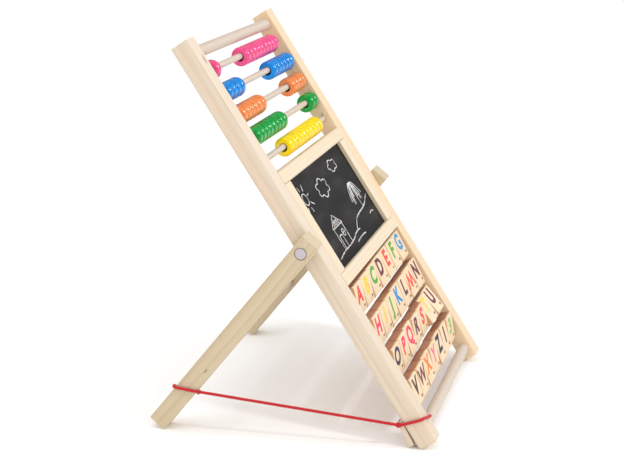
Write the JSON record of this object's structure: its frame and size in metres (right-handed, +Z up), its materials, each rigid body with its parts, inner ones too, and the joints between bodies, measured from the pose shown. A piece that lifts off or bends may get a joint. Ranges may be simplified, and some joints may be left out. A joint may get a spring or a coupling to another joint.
{
  "type": "children's learning easel",
  "caption": "Wooden A-frame learning easel with abacus rods, a chalkboard and rows of turning letter blocks, folding legs and a stay cord.",
  "frame": {"origin": "on the floor, midway between the stiles, midway between the front of the stiles' feet and the rear of the legs' feet", "axes": "+X to the viewer's right, +Z up, and the board faces -Y, leaning back 32 degrees from upright"},
  "size_m": [0.2719, 0.2704, 0.3657],
  "materials": {
    "stile": "satin",
    "panel": "satin",
    "leg": "satin",
    "dowel": "satin",
    "block": "satin",
    "pin": "satin",
    "axle": "satin",
    "chalkboard": "matt, with faint chalk dust",
    "cord": "twisted cotton",
    "bead_pink": "gloss paint on wood",
    "bead_blue": "gloss paint on wood",
    "bead_orange": "gloss paint on wood",
    "bead_green": "gloss paint on wood",
    "bead_yellow": "gloss paint on wood"
  },
  "bodies": {
    "frame": {"left_stile": "stile", "right_stile": "stile", "top_dowel": "dowel", "bottom_dowel": "dowel", "upper_rail": "panel", "lower_rail": "panel", "left_strip": "panel", "right_strip": "panel", "chalkboard": "chalkboard", "abacus_rods": "dowel", "block_axles": "axle", "left_pivot_pin": "pin", "right_pivot_pin": "pin", "foot_wedge": "dowel", "foot_loop": "cord", "cord_knot": "cord", "stay_cord": "cord"},
    "legs": {"left_leg": "leg", "right_leg": "leg", "leg_spreader": "dowel", "leg_loop": "cord"},
    "pink_bead_left": {"pink_bead_left": "bead_pink"},
    "pink_beads_right": {"pink_beads_right": "bead_pink"},
    "blue_beads_left": {"blue_beads_left": "bead_blue"},
    "blue_beads_right": {"blue_beads_right": "bead_blue"},
    "orange_beads_left": {"orange_beads_left": "bead_orange"},
    "orange_beads_right": {"orange_beads_right": "bead_orange"},
    "green_beads_left": {"green_beads_left": "bead_green"},
    "green_beads_right": {"green_beads_right": "bead_green"},
    "yellow_beads": {"yellow_beads": "bead_yellow"},
    "block_a": {"block_a": "block"},
    "block_b": {"block_b": "block"},
    "block_c": {"block_c": "block"},
    "block_d": {"block_d": "block"},
    "block_e": {"block_e": "block"},
    "block_f": {"block_f": "block"},
    "block_g": {"block_g": "block"},
    "block_h": {"block_h": "block"},
    "block_i": {"block_i": "block"},
    "block_j": {"block_j": "block"},
    "block_k": {"block_k": "block"},
    "block_l": {"block_l": "block"},
    "block_m": {"block_m": "block"},
    "block_n": {"block_n": "block"},
    "block_o": {"block_o": "block"},
    "block_p": {"block_p": "block"},
    "block_q": {"block_q": "block"},
    "block_r": {"block_r": "block"},
    "block_s": {"block_s": "block"},
    "block_t": {"block_t": "block"},
    "block_u": {"block_u": "block"},
    "block_v": {"block_v": "block"},
    "block_w": {"block_w": "block"},
    "block_x": {"block_x": "block"},
    "block_y": {"block_y": "block"},
    "block_z": {"block_z": "block"},
    "block_1": {"block_1": "block"},
    "block_3": {"block_3": "block"}
  },
  "joints": [
    {"name": "leg_fold", "type": "hinge", "parent": "frame", "child": "legs", "pos_m": [0, -0.01752, 0.18365], "axis": [1, 0, 0], "range_deg": [-61.3, 0], "deforming": ["stay_cord"]},
    {"name": "pink_bead_left_slide", "type": "slide", "parent": "frame", "child": "pink_bead_left", "axis": [1, 0, 0], "range_m": [-0.0087, 0.0347]},
    {"name": "pink_beads_right_slide", "type": "slide", "parent": "frame", "child": "pink_beads_right", "axis": [1, 0, 0], "range_m": [-0.0347, 0.0117]},
    {"name": "blue_beads_left_slide", "type": "slide", "parent": "frame", "child": "blue_beads_left", "axis": [1, 0, 0], "range_m": [-0.0047, 0.0422]},
    {"name": "blue_beads_right_slide", "type": "slide", "parent": "frame", "child": "blue_beads_right", "axis": [1, 0, 0], "range_m": [-0.0422, 0.0007]},
    {"name": "orange_beads_left_slide", "type": "slide", "parent": "frame", "child": "orange_beads_left", "axis": [1, 0, 0], "range_m": [-0.0057, 0.0417]},
    {"name": "orange_beads_right_slide", "type": "slide", "parent": "frame", "child": "orange_beads_right", "axis": [1, 0, 0], "range_m": [-0.0417, 0.0007]},
    {"name": "green_beads_left_slide", "type": "slide", "parent": "frame", "child": "green_beads_left", "axis": [1, 0, 0], "range_m": [-0.0087, 0.0402]},
    {"name": "green_beads_right_slide", "type": "slide", "parent": "frame", "child": "green_beads_right", "axis": [1, 0, 0], "range_m": [-0.0402, 0.0007]},
    {"name": "yellow_beads_slide", "type": "slide", "parent": "frame", "child": "yellow_beads", "axis": [1, 0, 0], "range_m": [-0.0627, 0.0277]},
    {"name": "block_a_turn", "type": "hinge", "parent": "frame", "child": "block_a", "pos_m": [-0.081, -0.05149, 0.12646], "axis": [1, 0, 0], "continuous": true},
    {"name": "block_b_turn", "type": "hinge", "parent": "frame", "child": "block_b", "pos_m": [-0.054, -0.05149, 0.12646], "axis": [1, 0, 0], "continuous": true},
    {"name": "block_c_turn", "type": "hinge", "parent": "frame", "child": "block_c", "pos_m": [-0.027, -0.05149, 0.12646], "axis": [1, 0, 0], "continuous": true},
    {"name": "block_d_turn", "type": "hinge", "parent": "frame", "child": "block_d", "pos_m": [0, -0.05149, 0.12646], "axis": [1, 0, 0], "continuous": true},
    {"name": "block_e_turn", "type": "hinge", "parent": "frame", "child": "block_e", "pos_m": [0.027, -0.05149, 0.12646], "axis": [1, 0, 0], "continuous": true},
    {"name": "block_f_turn", "type": "hinge", "parent": "frame", "child": "block_f", "pos_m": [0.054, -0.05149, 0.12646], "axis": [1, 0, 0], "continuous": true},
    {"name": "block_g_turn", "type": "hinge", "parent": "frame", "child": "block_g", "pos_m": [0.081, -0.05149, 0.12646], "axis": [1, 0, 0], "continuous": true},
    {"name": "block_h_turn", "type": "hinge", "parent": "frame", "child": "block_h", "pos_m": [-0.081, -0.06924, 0.09806], "axis": [1, 0, 0], "continuous": true},
    {"name": "block_i_turn", "type": "hinge", "parent": "frame", "child": "block_i", "pos_m": [-0.054, -0.06924, 0.09806], "axis": [1, 0, 0], "continuous": true},
    {"name": "block_j_turn", "type": "hinge", "parent": "frame", "child": "block_j", "pos_m": [-0.027, -0.06924, 0.09806], "axis": [1, 0, 0], "continuous": true},
    {"name": "block_k_turn", "type": "hinge", "parent": "frame", "child": "block_k", "pos_m": [0, -0.06924, 0.09806], "axis": [1, 0, 0], "continuous": true},
    {"name": "block_l_turn", "type": "hinge", "parent": "frame", "child": "block_l", "pos_m": [0.027, -0.06924, 0.09806], "axis": [1, 0, 0], "continuous": true},
    {"name": "block_m_turn", "type": "hinge", "parent": "frame", "child": "block_m", "pos_m": [0.054, -0.06924, 0.09806], "axis": [1, 0, 0], "continuous": true},
    {"name": "block_n_turn", "type": "hinge", "parent": "frame", "child": "block_n", "pos_m": [0.081, -0.06924, 0.09806], "axis": [1, 0, 0], "continuous": true},
    {"name": "block_o_turn", "type": "hinge", "parent": "frame", "child": "block_o", "pos_m": [-0.081, -0.08699, 0.06964], "axis": [1, 0, 0], "continuous": true},
    {"name": "block_p_turn", "type": "hinge", "parent": "frame", "child": "block_p", "pos_m": [-0.054, -0.08699, 0.06964], "axis": [1, 0, 0], "continuous": true},
    {"name": "block_q_turn", "type": "hinge", "parent": "frame", "child": "block_q", "pos_m": [-0.027, -0.08699, 0.06964], "axis": [1, 0, 0], "continuous": true},
    {"name": "block_r_turn", "type": "hinge", "parent": "frame", "child": "block_r", "pos_m": [0, -0.08699, 0.06964], "axis": [1, 0, 0], "continuous": true},
    {"name": "block_s_turn", "type": "hinge", "parent": "frame", "child": "block_s", "pos_m": [0.027, -0.08699, 0.06964], "axis": [1, 0, 0], "continuous": true},
    {"name": "block_t_turn", "type": "hinge", "parent": "frame", "child": "block_t", "pos_m": [0.054, -0.08699, 0.06964], "axis": [1, 0, 0], "continuous": true},
    {"name": "block_u_turn", "type": "hinge", "parent": "frame", "child": "block_u", "pos_m": [0.081, -0.08699, 0.06964], "axis": [1, 0, 0], "continuous": true},
    {"name": "block_v_turn", "type": "hinge", "parent": "frame", "child": "block_v", "pos_m": [-0.081, -0.10474, 0.04124], "axis": [1, 0, 0], "continuous": true},
    {"name": "block_w_turn", "type": "hinge", "parent": "frame", "child": "block_w", "pos_m": [-0.054, -0.10474, 0.04124], "axis": [1, 0, 0], "continuous": true},
    {"name": "block_x_turn", "type": "hinge", "parent": "frame", "child": "block_x", "pos_m": [-0.027, -0.10474, 0.04124], "axis": [1, 0, 0], "continuous": true},
    {"name": "block_y_turn", "type": "hinge", "parent": "frame", "child": "block_y", "pos_m": [0, -0.10474, 0.04124], "axis": [1, 0, 0], "continuous": true},
    {"name": "block_z_turn", "type": "hinge", "parent": "frame", "child": "block_z", "pos_m": [0.027, -0.10474, 0.04124], "axis": [1, 0, 0], "continuous": true},
    {"name": "block_1_turn", "type": "hinge", "parent": "frame", "child": "block_1", "pos_m": [0.054, -0.10474, 0.04124], "axis": [1, 0, 0], "continuous": true},
    {"name": "block_3_turn", "type": "hinge", "parent": "frame", "child": "block_3", "pos_m": [0.081, -0.10474, 0.04124], "axis": [1, 0, 0], "continuous": true}
  ]
}
